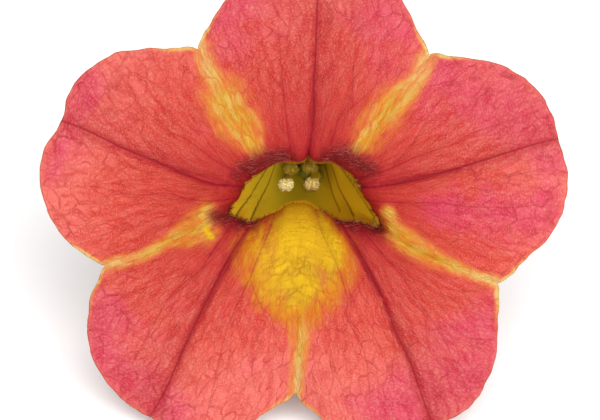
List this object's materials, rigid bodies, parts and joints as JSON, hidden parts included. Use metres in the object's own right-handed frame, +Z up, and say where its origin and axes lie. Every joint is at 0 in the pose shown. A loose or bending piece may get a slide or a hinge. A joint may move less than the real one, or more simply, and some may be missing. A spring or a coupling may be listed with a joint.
{
  "type": "calibrachoa bloom",
  "caption": "Single five-lobed calibrachoa bloom with a yellow throat, green sepals and a short cut stalk, a red funnel lying face up on two lobes and the stalk's end.",
  "frame": {"origin": "on the surface the bloom lies on, below the middle of its bounding box", "axes": "+Z up; the face looks towards -Y and up; the tube and stalk run back along +Y; +X to the viewer's right"},
  "size_m": [0.0348, 0.0412, 0.0273],
  "materials": {
    "petal": "fresh petal, thin, soft and matte",
    "sepal_green": "fresh green sepal, finely hairy, matte",
    "stalk_green": "fresh green stalk, finely hairy, matte",
    "pistil_green": "fresh green pistil, smooth",
    "anther_cream": "cream anther covered in pollen, grainy, matte"
  },
  "bodies": {
    "root": {"corolla": "petal", "calyx": "sepal_green", "stalk": "stalk_green", "pistil": "pistil_green", "stamen_long_left": "anther_cream", "stamen_long_right": "anther_cream", "stamen_middle_left": "anther_cream", "stamen_middle_right": "anther_cream", "stamen_short": "anther_cream"}
  },
  "joints": []
}
